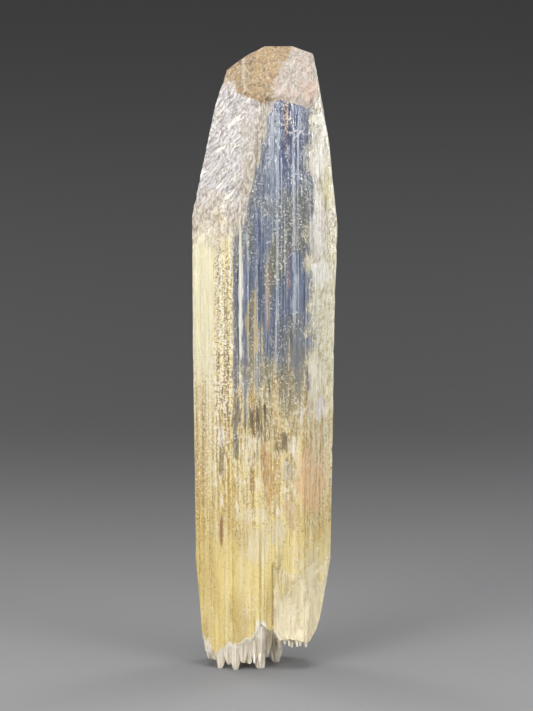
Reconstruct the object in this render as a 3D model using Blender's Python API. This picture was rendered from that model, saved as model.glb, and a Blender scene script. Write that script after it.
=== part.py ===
# Kunzite crystal: one flattened spodumene blade that stands on the clear prongs of its etched foot.
# Lengths are millimetres until to_metres() scales the finished mesh.
# +Z runs along the blade, from foot to tip, and -Y is its front.

import math
import random

import bmesh
import bpy
from mathutils import Matrix, Vector

MILLIMETRE = 0.001

# Driving dimensions of the blade
HEIGHT = 124.4
WIDTH = 28.8
THICKNESS = 12.6
HALF_WIDTH = WIDTH / 2
HALF_THICKNESS = THICKNESS / 2

# The blade narrows towards its foot: height, width share, thickness share, sideways lean
TAPER = [
    (-1.0, 0.936, 0.93, -0.36),
    (22.0, 0.944, 0.94, -0.35),
    (36.0, 0.954, 0.95, -0.32),
    (51.0, 0.968, 0.97, -0.28),
    (66.0, 0.980, 0.98, -0.28),
    (76.0, 0.986, 0.99, -0.20),
    (85.0, 1.000, 1.00, 0.00),
    (HEIGHT + 2.0, 1.000, 1.00, 0.00),
]

# Prism faces from corner to corner, counter-clockwise from above: corner, strips, deepest groove
PRISM_FACES = [
    ((-6.0, -HALF_THICKNESS), 19, 0.50),
    ((8.6, -HALF_THICKNESS), 8, 0.34),
    ((HALF_WIDTH, -1.0), 2, 0.10),
    ((HALF_WIDTH - 0.2, 1.4), 9, 0.36),
    ((4.8, HALF_THICKNESS), 17, 0.50),
    ((-10.2, HALF_THICKNESS), 5, 0.25),
    ((-HALF_WIDTH, 2.6), 3, 0.08),
    ((-HALF_WIDTH, -2.2), 4, 0.12),
    ((-10.6, -4.44), 7, 0.30),
]
RISER = 0.07  # run of the little step between two strips
LEAST_STRIP = 0.35  # narrowest strip, against up to 2 more that chance adds
LEAST_GROOVE = 0.55  # share of its depth that a groove keeps all the way up

# Flat faces of the tip and the foot: a point on the face and the way it looks
PLAIN_FACETS = [
    ((-11.0, -2.3, 107.2), (-0.950, 0.240, 0.202)),
    ((-7.9, -1.5, 118.5), (-0.80, -0.20, 0.56)),
    ((-4.3, 0.0, 122.1), (-0.57, 0.0, 0.82)),
    ((6.8, 0.0, 123.9), (0.33, 0.0, 0.944)),
    ((9.4, -1.0, 122.5), (0.982, -0.06, 0.180)),
    ((12.5, 0.0, 106.5), (0.994, -0.03, 0.107)),
    ((-4.3, 1.8, 121.2), (-0.40, 0.72, 0.57)),
    ((6.8, 1.8, 123.2), (0.21, 0.76, 0.61)),
    ((2.5, 1.6, HEIGHT), (0.0, 0.0, 1.0)),
    ((13.2, 0.0, 21.5), (0.984, -0.05, -0.170)),
    ((12.6, 0.0, 14.2), (0.950, -0.08, -0.302)),
    ((10.4, 0.0, 7.6), (0.860, -0.05, -0.500)),
    ((-12.75, 0.0, 9.2), (-0.995, 0.03, -0.085)),
]
SLAB = 14.0  # thickness of a cutter that shapes a whole facet

# Etched faces of the tip: point, way it looks, hatch direction, width, length, cells across, cells along
HATCHED_FACE = ((-6.0, -6.3, 88.6), (-0.397, -0.913, 0.093), (0.643, -0.205, 0.736), 96.0, 56.0, 122, 3)
DOME_FACE = ((1.0, -2.6, 119.3), (-0.125, -0.778, 0.616), (1.0, 0.0, 0.0), 22.0, 15.0, 20, 14)
SHOULDER_FACE = ((8.0, -3.8, 117.7), (0.145, -0.8365, 0.529), (0.6, 0.0, 0.8), 18.0, 18.0, 24, 4)
LEFT_CAP_FACE = ((-6.2, -2.13, 117.0), (-0.487, -0.671, 0.559), (0.5, 0.0, 0.86), 16.0, 14.0, 14, 13)
HATCH_HEIGHT = 0.065  # of a ridge above the face, and of a furrow below it
HATCH_UNEVEN = 0.013
GRAIN_HEIGHT = 0.20

# Long shallow ledges on the broad faces: x, low end, high end, width, depth, slope of the ends
FRONT_LEDGES = [
    (-4.75, 58.0, 97.0, 1.10, 0.42, 0.9),
    (-5.60, 47.5, 55.0, 1.20, 0.60, 0.2),
    (-5.70, 39.5, 46.4, 1.00, 0.50, 0.3),
    (-8.60, 38.5, 46.0, 0.80, 0.55, 1.2),
    (-8.70, 25.0, 31.6, 0.90, 0.60, -2.8),
    (-1.20, 31.0, 54.0, 0.90, 0.36, 1.6),
    (0.90, 36.0, 60.0, 1.30, 0.42, -1.0),
    (3.10, 43.0, 58.5, 0.80, 0.38, 0.8),
    (3.90, 66.0, 115.0, 0.60, 0.40, 0.5),
    (0.60, 72.0, 108.0, 0.50, 0.32, 0.7),
    (-2.30, 63.0, 92.0, 0.55, 0.36, 0.8),
    (6.30, 22.0, 50.0, 1.10, 0.34, 2.2),
    (8.30, 60.0, 96.0, 0.90, 0.34, 1.3),
    (-10.2, 70.0, 88.0, 0.70, 0.30, 1.5),
    (1.95, 9.5, 21.5, 0.50, 0.55, 0.4),
    (-3.00, 16.0, 30.5, 1.60, 0.26, 1.8),
]
LEDGE_LOW_SLOPE = -0.6  # slope of a ledge's low end, as a share of the slope of its high end
BACK_LEDGES = 22
BACK_LEDGE_SPAN = (-9.6, 6.8)
BACK_LEDGE_START = (14.0, 88.0)
BACK_LEDGE_LENGTH = (9.0, 42.0)
BACK_LEDGE_TOP = 116.0
BACK_LEDGE_WIDTH = (0.5, 1.6)
BACK_LEDGE_DEPTH = (0.25, 0.60)
BACK_LEDGE_SLOPE = 2.0

# Flakes missing from the blade: centre and radii of the hollow that each one left
FLAKES = [
    ((15.6, -5.6, 81.5), (2.6, 3.2, 8.6)),
    ((14.2, -7.4, 91.5), (3.0, 3.0, 7.2)),
    ((13.2, -8.2, 72.0), (3.0, 3.2, 5.4)),
    ((14.6, -6.4, 60.5), (3.3, 3.2, 4.6)),
    ((12.6, -8.4, 54.0), (3.2, 3.2, 6.4)),
    ((13.6, -7.2, 43.5), (2.4, 3.3, 7.2)),
    ((15.2, -2.0, 101.0), (1.8, 2.4, 4.4)),
    ((14.1, -2.0, 112.5), (2.6, 2.6, 4.0)),
    ((7.8, -15.7, 12.5), (12.8, 11.0, 19.0)),
    ((12.4, -9.4, 24.8), (5.4, 4.2, 6.0)),
    ((-15.0, -1.6, 41.2), (1.3, 2.6, 4.6)),
    ((-14.9, -3.2, 25.0), (1.7, 2.6, 7.0)),
    ((-14.4, 0.8, 15.2), (1.4, 3.0, 4.0)),
    ((-13.9, -1.0, 7.4), (1.3, 3.0, 1.9)),
    ((14.8, 4.0, 66.0), (2.6, 3.6, 9.0)),
    ((12.0, 7.6, 92.0), (4.0, 3.6, 6.6)),
    ((9.6, 8.2, 36.0), (4.6, 3.6, 10.0)),
    ((-15.0, 5.2, 78.0), (3.0, 3.0, 9.4)),
    ((-13.6, 7.4, 52.0), (3.4, 3.0, 5.2)),
    ((-4.0, 14.8, 12.0), (11.0, 9.8, 12.0)),
]
FLAKE_LEAN = 0.2
BROAD_FLAKE = 10.5  # a flake with a greater radius than this is rounded
BROAD_FINENESS = 4
CHIP_FINENESS = 1

# Prongs of the foot: x, y, height of the tip, width, depth, width of the blunt tip as a share.
# The blade rests on those whose tip is at 0
NAMED_PRONGS = [
    (-11.5, -1.9, 3.2, 2.2, 2.2, 0.45),
    (-10.4, -2.5, 1.5, 2.5, 2.0, 0.26),
    (-8.8, -3.3, 0.0, 3.0, 2.4, 0.32),
    (-7.4, -3.8, 0.9, 2.5, 1.8, 0.22),
    (-6.0, -4.2, 0.0, 2.9, 2.2, 0.35),
    (-4.4, -4.4, 1.5, 2.6, 1.9, 0.28),
    (-3.1, -4.1, 1.2, 2.5, 2.0, 0.30),
    (-1.3, -3.1, 0.0, 3.0, 2.8, 0.58),
    (0.5, -2.6, 2.6, 2.0, 2.2, 0.30),
    (2.3, 0.9, 0.0, 2.4, 2.6, 0.56),
    (3.0, -1.6, 3.6, 1.8, 2.0, 0.40),
    (2.5, 4.0, 0.0, 2.2, 2.2, 0.60),
    (-10.9, 3.0, 0.0, 2.3, 2.2, 0.44),
    (-6.4, 4.2, 0.0, 2.6, 2.2, 0.44),
    (-1.9, 4.3, 0.7, 2.4, 2.0, 0.34),
    (-8.4, 0.2, 0.4, 2.6, 2.8, 0.34),
    (-4.2, 0.6, 0.8, 2.6, 2.6, 0.34),
]

# Rows of smaller prongs across the foot: y, least x, greatest x, count
PRONG_ROWS = [
    (-4.3, -5.4, -0.4, 4),
    (-2.3, -12.0, 1.4, 9),
    (-0.2, -12.4, 2.6, 9),
    (2.2, -12.0, 2.8, 9),
    (4.3, -9.6, 2.6, 7),
]
STUB_ROWS = [
    (-3.8, 3.4, 8.6, 6),
    (-1.4, 4.2, 9.2, 6),
    (1.2, 4.2, 9.2, 6),
    (3.4, 4.0, 7.0, 4),
]
PRONG_REACH = (0.8, 3.0)  # heights of the small prongs' tips
PRONG_WIDTH = (1.4, 2.3)
STUB_REACH = (4.4, 5.3)
STUB_WIDTH = (1.0, 1.8)
PRONG_GAP = 1.1  # least distance from a small prong's middle to a named one's
PRONG_ROOT = 9.0  # height inside the blade from which a prong grows
PRONG_SIDES = 6
PRONG_POINT = 2.2  # length of a prong's tapering tip
ROOT_SHARE = 1.15  # size at the root, as a share of the size above the tip
ROOT_SPREAD = 1.35  # and how much wider than that the root is from side to side
PRONG_SPLAY = 0.2  # how far the tips stand out to the front and back of their roots
SMALL_TIP_SHARE = 0.32

# Lower edge of the blade at its front: x, height. Further in it is lower and uneven
FOOT_EDGE = [
    (-16.0, 6.2),
    (-12.6, 5.6),
    (-11.6, 4.4),
    (-9.8, 3.5),
    (-8.4, 4.6),
    (-6.8, 5.4),
    (-5.4, 5.0),
    (-3.6, 6.4),
    (-2.6, 6.0),
    (-0.8, 9.8),
    (0.6, 8.2),
    (1.8, 8.6),
    (2.6, 6.0),
    (4.4, 6.4),
    (9.6, 5.5),
    (16.0, 6.0),
]
FOOT_FACE = ((0.0, 0.0, 0.0), (0.0, 0.0, -1.0), (1.0, 0.0, 0.0), 32.0, 15.0, 11, 44)
FOOT_FRONT = 3.4  # how far before the middle of the blade the front edge's zigzag begins
FOOT_INSIDE = (5.2, 7.4)  # heights of the blade's underside behind it

PRISM_SEED = 7
LEDGE_SEED = 11
RELIEF_SEED = 23
PRONG_SEED = 5

CRYSTAL_COLOUR = (0.86, 0.78, 0.55, 1.0)


def taper_at(height):
    """Width share, thickness share and lean of the blade at a height."""
    for below, above in zip(TAPER, TAPER[1:]):
        if height <= above[0]:
            share = (height - below[0]) / (above[0] - below[0])
            return [a + share * (b - a) for a, b in zip(below[1:], above[1:])]
    return list(TAPER[-1][1:])


def strip_bounds(rng, count):
    """Shares along a prism face at which its strips meet."""
    widths = [LEAST_STRIP + rng.random() ** 2 * 2 for _ in range(count)]
    total = sum(widths)
    bounds = [0.0]
    for width in widths:
        bounds.append(bounds[-1] + width / total)
    return bounds


def striated_rings(rng):
    """One ring of points for each height of TAPER: the prism's outline with its grooves."""
    rings = [[] for _ in TAPER]
    for side, (corner, strips, groove) in enumerate(PRISM_FACES):
        start = Vector(corner)
        end = Vector(PRISM_FACES[(side + 1) % len(PRISM_FACES)][0])
        along = (end - start).normalized()
        inward = Vector((-along.y, along.x))
        length = (end - start).length
        bounds = strip_bounds(rng, strips)
        for strip in range(strips):
            depth = groove * rng.random()
            near = bounds[strip] * length + RISER / 2
            far = bounds[strip + 1] * length - RISER / 2
            for ring in rings:
                level = depth * (LEAST_GROOVE + (1 - LEAST_GROOVE) * rng.random())
                for run in (near, far):
                    ring.append(start + along * run + inward * level)
    return rings


def blade_prism(mesh):
    """The striated prism, lofted from its foot to above its tip."""
    rings = []
    for (height, wide, thick, lean), outline in zip(TAPER, striated_rings(random.Random(PRISM_SEED))):
        rings.append([mesh.verts.new((p.x * wide + lean, p.y * thick, height)) for p in outline])
    for below, above in zip(rings, rings[1:]):
        for i in range(len(below)):
            j = (i + 1) % len(below)
            mesh.faces.new((below[i], below[j], above[j], above[i]))
    mesh.faces.new(reversed(rings[0]))
    mesh.faces.new(rings[-1])


def cut_facet(mesh, point, normal):
    """Cuts away what lies outside a flat face and closes the cut."""
    cut = bmesh.ops.bisect_plane(
        mesh,
        geom=mesh.verts[:] + mesh.edges[:] + mesh.faces[:],
        dist=1e-5,
        plane_co=point,
        plane_no=normal,
        clear_outer=True,
    )
    rim = [e for e in cut["geom_cut"] if isinstance(e, bmesh.types.BMEdge)]
    bmesh.ops.edgeloop_fill(mesh, edges=rim)


def to_metres(mesh):
    bmesh.ops.scale(mesh, vec=(MILLIMETRE,) * 3, verts=mesh.verts)


def new_object(name, mesh, collection):
    """Turns a finished bmesh in millimetres into an object in metres."""
    bmesh.ops.recalc_face_normals(mesh, faces=mesh.faces)
    to_metres(mesh)
    data = bpy.data.meshes.new(name)
    mesh.to_mesh(data)
    mesh.free()
    obj = bpy.data.objects.new(name, data)
    collection.objects.link(obj)
    return obj


def new_helper(name, mesh, collection):
    """An object that only cuts or joins, and is not a piece of its own."""
    obj = new_object(name, mesh, collection)
    obj.hide_render = True
    obj.display_type = "WIRE"
    return obj


def facing(point, normal, along):
    """Matrix that sets local Z to the face's normal and local X along the hatch."""
    z = Vector(normal).normalized()
    x = Vector(along)
    x = (x - z * x.dot(z)).normalized()
    y = z.cross(x)
    turn = Matrix((x, y, z)).transposed().to_4x4()
    return Matrix.Translation(point) @ turn


def relief_cutter(name, face, height_at, collection):
    """A slab whose underside carries the relief of an etched face."""
    point, normal, along, size_x, size_y, cells_y, cells_x = face
    mesh = bmesh.new()
    bmesh.ops.create_grid(mesh, x_segments=cells_x, y_segments=cells_y, size=0.5)
    bmesh.ops.scale(mesh, vec=(size_x, size_y, 1.0), verts=mesh.verts)
    rows = sorted({round(v.co.y, 4) for v in mesh.verts})
    for vertex in mesh.verts:
        vertex.co.z = height_at(vertex.co, rows.index(round(vertex.co.y, 4)))
    roof = bmesh.ops.extrude_face_region(mesh, geom=mesh.faces[:])
    lifted = [v for v in roof["geom"] if isinstance(v, bmesh.types.BMVert)]
    for vertex in lifted:
        vertex.co.z = SLAB
    bmesh.ops.transform(mesh, matrix=facing(point, normal, along), verts=mesh.verts)
    new_helper(name, mesh, collection)


def hatch(rng, height):
    """Ridges that run along the hatch: every other row stands proud."""
    return lambda place, row: (height + rng.random() * HATCH_UNEVEN) * (1 if row % 2 else -1)


def grain(rng, height):
    """Uneven grains with no direction."""
    return lambda place, row: height * (rng.random() - 0.5) * 2


def edge_height(x):
    """Height of the blade's lower front edge."""
    for (left, low), (right, high) in zip(FOOT_EDGE, FOOT_EDGE[1:]):
        if x <= right:
            return low + (high - low) * (x - left) / (right - left)
    return FOOT_EDGE[-1][1]


def ragged(rng):
    """The broken underside: a zigzag along the front edge and uneven lumps behind it."""
    def height_at(place, row):
        uneven = rng.uniform(*FOOT_INSIDE)
        return -(edge_height(place.x) if place.y > FOOT_FRONT else uneven)
    return height_at


def ledge_cutter(name, ledge, side, collection):
    """A long thin block with slanted ends that lowers a strip of a broad face.

    side is -1 at the front and 1 at the back.
    """
    x, low, high, width, depth, slope = ledge
    middle = (low + high) / 2
    wide, thick, lean = taper_at(middle)
    mesh = bmesh.new()
    bmesh.ops.create_cube(mesh, size=1.0)
    bmesh.ops.scale(mesh, vec=(width, 2 * depth, high - low), verts=mesh.verts)
    for vertex in mesh.verts:
        if vertex.co.x > 0:
            vertex.co.z += slope * (1 if vertex.co.z > 0 else LEDGE_LOW_SLOPE)
    place = (x * wide + lean, side * HALF_THICKNESS * thick, middle)
    bmesh.ops.translate(mesh, vec=place, verts=mesh.verts)
    new_helper(name, mesh, collection)


def flake_cutter(name, rng, flake, collection):
    """A long splintery chip, or a rounded shell-like one where the flake is broad."""
    centre, radii = flake
    mesh = bmesh.new()
    fineness = BROAD_FINENESS if max(radii) > BROAD_FLAKE else CHIP_FINENESS
    bmesh.ops.create_icosphere(mesh, subdivisions=fineness, radius=1.0)
    turn = Matrix.Rotation(rng.uniform(0, 3), 3, "Z")
    bmesh.ops.rotate(mesh, cent=(0, 0, 0), matrix=turn, verts=mesh.verts)
    bmesh.ops.scale(mesh, vec=radii, verts=mesh.verts)
    lean = Matrix.Rotation(rng.uniform(-FLAKE_LEAN, FLAKE_LEAN), 3, "Y")
    bmesh.ops.rotate(mesh, cent=(0, 0, 0), matrix=lean, verts=mesh.verts)
    bmesh.ops.translate(mesh, vec=centre, verts=mesh.verts)
    new_helper(name, mesh, collection)


def prong(name, rng, place, collection):
    """A clear stub of crystal: a six-sided shaft that tapers to a small blunt tip."""
    x, y, tip, width, depth, tip_share = place
    shoulder = tip + PRONG_POINT * (0.7 + 0.6 * rng.random())
    shaft = PRONG_ROOT - shoulder
    mesh = bmesh.new()
    bmesh.ops.create_cone(
        mesh, cap_ends=True, segments=PRONG_SIDES, radius1=0.5, radius2=0.5 * ROOT_SHARE, depth=shaft
    )
    turn = Matrix.Rotation(rng.uniform(-0.5, 0.5), 3, "Z")
    bmesh.ops.rotate(mesh, cent=(0, 0, 0), matrix=turn, verts=mesh.verts)
    bmesh.ops.scale(mesh, vec=(width, depth, 1.0), verts=mesh.verts)
    root = [vertex for vertex in mesh.verts if vertex.co.z > 0]
    bmesh.ops.scale(mesh, vec=(ROOT_SPREAD, 1.0, 1.0), verts=root)
    bmesh.ops.translate(mesh, vec=(x, y, shoulder + shaft / 2), verts=mesh.verts)
    end = min(mesh.faces, key=lambda face: face.calc_center_median().z)
    point = bmesh.ops.extrude_discrete_faces(mesh, faces=[end])["faces"][0]
    centre = Vector((x + width * rng.uniform(-0.08, 0.16), y * (1 + PRONG_SPLAY), tip))
    for vertex in point.verts:
        across = (vertex.co - Vector((x, y, vertex.co.z))) * tip_share
        vertex.co = centre + Vector((across.x, across.y, 0.0))
    new_helper(name, mesh, collection)


def small_places(rng, rows, reach, widths):
    """Rows of small prongs, clear of the named ones."""
    places = []
    for y, low, high, count in rows:
        for i in range(count):
            x = low + (high - low) * (i + rng.uniform(0.25, 0.75)) / count
            width = rng.uniform(*widths)
            middle = y + rng.uniform(-0.5, 0.5)
            tip = rng.uniform(*reach)
            depth = width * rng.uniform(0.8, 1.2)
            if all(math.hypot(x - p[0], middle - p[1]) > PRONG_GAP for p in NAMED_PRONGS):
                places.append((x, middle, tip, width, depth, SMALL_TIP_SHARE))
    return places


def crystal_material():
    """Clear pale yellow crystal."""
    material = bpy.data.materials.new("clear_spodumene")
    material.use_nodes = True
    shader = material.node_tree.nodes["Principled BSDF"]
    shader.inputs["Base Color"].default_value = CRYSTAL_COLOUR
    shader.inputs["Roughness"].default_value = 0.18
    shader.inputs["Metallic"].default_value = 0.0
    shader.inputs["IOR"].default_value = 1.66
    shader.inputs["Transmission Weight"].default_value = 0.8
    return material


def new_collection(name):
    collection = bpy.data.collections.new(name)
    bpy.context.scene.collection.children.link(collection)
    return collection


def make_cutters(collection):
    rng = random.Random(RELIEF_SEED)
    relief_cutter("hatched_face", HATCHED_FACE, hatch(rng, HATCH_HEIGHT), collection)
    relief_cutter("dome_face", DOME_FACE, grain(rng, GRAIN_HEIGHT), collection)
    relief_cutter("shoulder_face", SHOULDER_FACE, hatch(rng, HATCH_HEIGHT), collection)
    relief_cutter("left_cap_face", LEFT_CAP_FACE, grain(rng, GRAIN_HEIGHT), collection)
    relief_cutter("foot_face", FOOT_FACE, ragged(rng), collection)
    for i, ledge in enumerate(FRONT_LEDGES):
        ledge_cutter(f"front_ledge_{i}", ledge, -1, collection)
    rng = random.Random(LEDGE_SEED)
    for i in range(BACK_LEDGES):
        left, right = BACK_LEDGE_SPAN
        x = left + (right - left) * (i + rng.uniform(0.2, 0.8)) / BACK_LEDGES
        low = rng.uniform(*BACK_LEDGE_START)
        high = min(low + rng.uniform(*BACK_LEDGE_LENGTH), BACK_LEDGE_TOP)
        width = rng.uniform(*BACK_LEDGE_WIDTH)
        depth = rng.uniform(*BACK_LEDGE_DEPTH)
        ledge = (x, low, high, width, depth, rng.uniform(-BACK_LEDGE_SLOPE, BACK_LEDGE_SLOPE))
        ledge_cutter(f"back_ledge_{i}", ledge, 1, collection)
    for i, flake in enumerate(FLAKES):
        flake_cutter(f"flake_{i}", rng, flake, collection)


def make_prongs(collection):
    rng = random.Random(PRONG_SEED)
    places = NAMED_PRONGS + small_places(rng, PRONG_ROWS, PRONG_REACH, PRONG_WIDTH)
    places += small_places(rng, STUB_ROWS, STUB_REACH, STUB_WIDTH)
    for i, place in enumerate(places):
        prong(f"prong_{i}", rng, place, collection)


def collection_boolean(obj, name, operation, collection):
    boolean = obj.modifiers.new(name, "BOOLEAN")
    boolean.operation = operation
    boolean.operand_type = "COLLECTION"
    boolean.collection = collection
    boolean.solver = "EXACT"


def main():
    for obj in list(bpy.data.objects):
        bpy.data.objects.remove(obj)
    pieces = new_collection("kunzite_crystal")
    cutters = new_collection("cutters")
    prongs = new_collection("prongs")

    mesh = bmesh.new()
    blade_prism(mesh)
    for point, normal in PLAIN_FACETS:
        cut_facet(mesh, point, normal)
    crystal = new_object("crystal", mesh, pieces)
    crystal.data.materials.append(crystal_material())

    make_cutters(cutters)
    make_prongs(prongs)
    collection_boolean(crystal, "etched faces, ledges and flakes", "DIFFERENCE", cutters)
    collection_boolean(crystal, "prongs of the foot", "UNION", prongs)


main()
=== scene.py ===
# Kunzite crystal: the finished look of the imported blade.
# Sizes in the dictionaries are millimetres on the crystal itself, +Z up its length and -Y its front.
import math

import bpy
import numpy as np
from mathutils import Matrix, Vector
from mathutils.bvhtree import BVHTree


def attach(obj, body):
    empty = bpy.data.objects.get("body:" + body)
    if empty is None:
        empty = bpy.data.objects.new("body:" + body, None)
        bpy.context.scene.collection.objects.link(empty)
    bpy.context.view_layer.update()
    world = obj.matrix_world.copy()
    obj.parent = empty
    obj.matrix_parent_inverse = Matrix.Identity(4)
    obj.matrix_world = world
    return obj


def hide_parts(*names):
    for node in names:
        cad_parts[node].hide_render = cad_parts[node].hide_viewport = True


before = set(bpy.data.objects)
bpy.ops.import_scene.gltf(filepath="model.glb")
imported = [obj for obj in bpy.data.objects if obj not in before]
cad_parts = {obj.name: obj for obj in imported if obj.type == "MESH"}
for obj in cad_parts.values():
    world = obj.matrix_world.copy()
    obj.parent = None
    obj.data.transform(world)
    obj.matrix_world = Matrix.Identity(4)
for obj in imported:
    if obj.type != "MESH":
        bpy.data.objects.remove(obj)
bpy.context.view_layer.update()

mm = 0.001

# What a user would change about the blade's fine shape
bladeShape = {
    "spineEnd": 8.0,           # columns look straight out between the spine's ends and fan out past them
    "frontColumns": 78,
    "backColumns": 60,
    "sideColumns": 76,
    "rowHeights": ((11.1, 86.0, 1.00), (86.0, 113.5, 0.46), (113.5, 124.3, 0.27)),
    "tipSpine": (1.1, 2.9, 1.72),   # at the very top: least x, greatest x, y
    "spineKnee": 113.5,        # height from which the spine closes in on the top
    "footTop": 10.45,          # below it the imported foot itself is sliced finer
    "footSlices": (0.60, 0.70, 0.65),
    "striation": 0.050,        # how far the fine relief stands in or out
    "etch": 0.060,
    "hatch": 0.070,
    "grain": 0.170,
    "frost": 0.080,
    "flute": 0.060,
    "chip": 0.40,              # deepest bite out of the narrow right side; a third of it at the left
    "edgeAngle": 24,
}

hatchAlong = (0.643, 0.0, 0.766)     # the way the hatch of the slanting face rises
hatchAcross = (-0.766, 0.0, 0.643)

# Planes of the etched faces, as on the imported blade: a point and the way the face looks
etchedPlanes = {
    "hatch": ((-6.0, -6.3, 88.6), (-0.397, -0.913, 0.093)),
    "dome": ((1.0, -2.6, 119.3), (-0.125, -0.778, 0.616)),
    "shoulder": ((8.0, -3.8, 117.7), (0.145, -0.8365, 0.529)),
    "leftCap": ((-6.2, -2.13, 117.0), (-0.487, -0.671, 0.559)),
}


# Triangles of a node as an array of corners, in millimetres
def nodeTriangles(node):
    mesh = node.data
    mesh.calc_loop_triangles()
    places = np.empty(len(mesh.vertices) * 3)
    mesh.vertices.foreach_get("co", places)
    order = np.empty(len(mesh.loop_triangles) * 3, dtype=np.int32)
    mesh.loop_triangles.foreach_get("vertices", order)
    return places.reshape(-1, 3)[order].reshape(-1, 3, 3) / mm


# Where the edges from points a to points b pass the planes; the same from either side of an edge
def crossing(a, aside, b, bside, axis, plane):
    swap = aside > 0
    low, high = np.where(swap[:, None], b, a), np.where(swap[:, None], a, b)
    lowSide, highSide = np.where(swap, bside, aside), np.where(swap, aside, bside)
    share = lowSide / (lowSide - highSide)
    point = low + (high - low) * share[:, None]
    point[:, axis] = plane
    return point


# Cuts triangles at every plane across one axis, the middle planes first
def sliceAcross(triangles, axis, planes, tolerance=1e-4):
    done = []
    while len(triangles):
        along = triangles[:, :, axis]
        first = np.searchsorted(planes, along.min(axis=1) + tolerance, "right")
        last = np.searchsorted(planes, along.max(axis=1) - tolerance, "left")
        cut = last > first
        done.append(triangles[~cut])
        triangles, plane = triangles[cut], planes[((first + last) // 2)[cut]]
        side = triangles[:, :, axis] - plane[:, None]
        side[np.abs(side) < tolerance] = 0.0
        touching = (side == 0).any(axis=1)
        above = (side > 0).sum(axis=1) == 1
        lone = np.where(touching, (side == 0).argmax(axis=1),
                        np.where(above, side.argmax(axis=1), side.argmin(axis=1)))
        turn = (lone[:, None] + np.arange(3)) % 3
        corners = np.take_along_axis(triangles, turn[:, :, None], axis=1)
        side = np.take_along_axis(side, turn, axis=1)
        parts = []
        for chosen, through in ((touching, True), (~touching, False)):
            a, b, c = (corners[chosen, k] for k in range(3))
            sa, sb, sc = (side[chosen, k] for k in range(3))
            level = plane[chosen]
            if through:   # a plane through corner a leaves two pieces
                m = crossing(b, sb, c, sc, axis, level)
                parts += [np.stack(p, axis=1) for p in ((a, b, m), (a, m, c))]
            else:         # a plane between a and the other two leaves three
                m, n = crossing(a, sa, b, sb, axis, level), crossing(a, sa, c, sc, axis, level)
                parts += [np.stack(p, axis=1) for p in ((a, m, n), (m, b, c), (m, c, n))]
        triangles = np.concatenate(parts)
    return np.concatenate(done)


# Joins equal corners and drops pieces that have closed up
def weld(triangles, grid=1e-4):
    keys = np.round(triangles.reshape(-1, 3) / grid).astype(np.int64)
    keys, index = np.unique(keys, axis=0, return_inverse=True)
    faces = index.reshape(-1, 3)
    whole = (faces[:, 0] != faces[:, 1]) & (faces[:, 1] != faces[:, 2]) & (faces[:, 2] != faces[:, 0])
    return keys * grid, faces[whole]


def cornerNormals(points, faces):
    a, b, c = (points[faces[:, k]] for k in range(3))
    across = np.cross(b - a, c - a)
    total = np.zeros_like(points)
    for k in range(3):
        np.add.at(total, faces[:, k], across)
    length = np.linalg.norm(total, axis=1)
    return total / np.maximum(length, 1e-12)[:, None]


# Smooth lattice noise from -1 to 1 at points that are already scaled
def latticeNoise(points, seed):
    size = 4096
    rng = np.random.default_rng(seed)
    shuffled, values = rng.permutation(size), rng.uniform(-1, 1, size)
    cell = np.floor(points).astype(np.int64)
    part = points - cell
    part = part * part * (3 - 2 * part)
    total = np.zeros(len(points))
    for corner in np.ndindex(2, 2, 2):
        key = np.zeros(len(points), dtype=np.int64)
        weight = np.ones(len(points))
        for axis in range(3):
            key = shuffled[(key + cell[:, axis] + corner[axis]) % size]
            weight *= part[:, axis] if corner[axis] else 1 - part[:, axis]
        total += values[key] * weight
    return total


def layeredNoise(points, seed, layers=3):
    return sum(latticeNoise(points * 2 ** k, seed + k) / 2 ** k for k in range(layers))


# 0 before the start, 1 after the end, smooth between them
def ease(value, start, end):
    share = np.clip((value - start) / (end - start), 0, 1)
    return share * share * (3 - 2 * share)


# 1 on an etched plane and 0 away from it
def onPlane(points, normals, name, reach=0.55):
    point, normal = (np.array(part) for part in etchedPlanes[name])
    normal = normal / np.linalg.norm(normal)
    near = 1 - ease(np.abs((points - point) @ normal), reach * 0.6, reach)
    return near * ease(normals @ normal, 0.7, 0.9)


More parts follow.
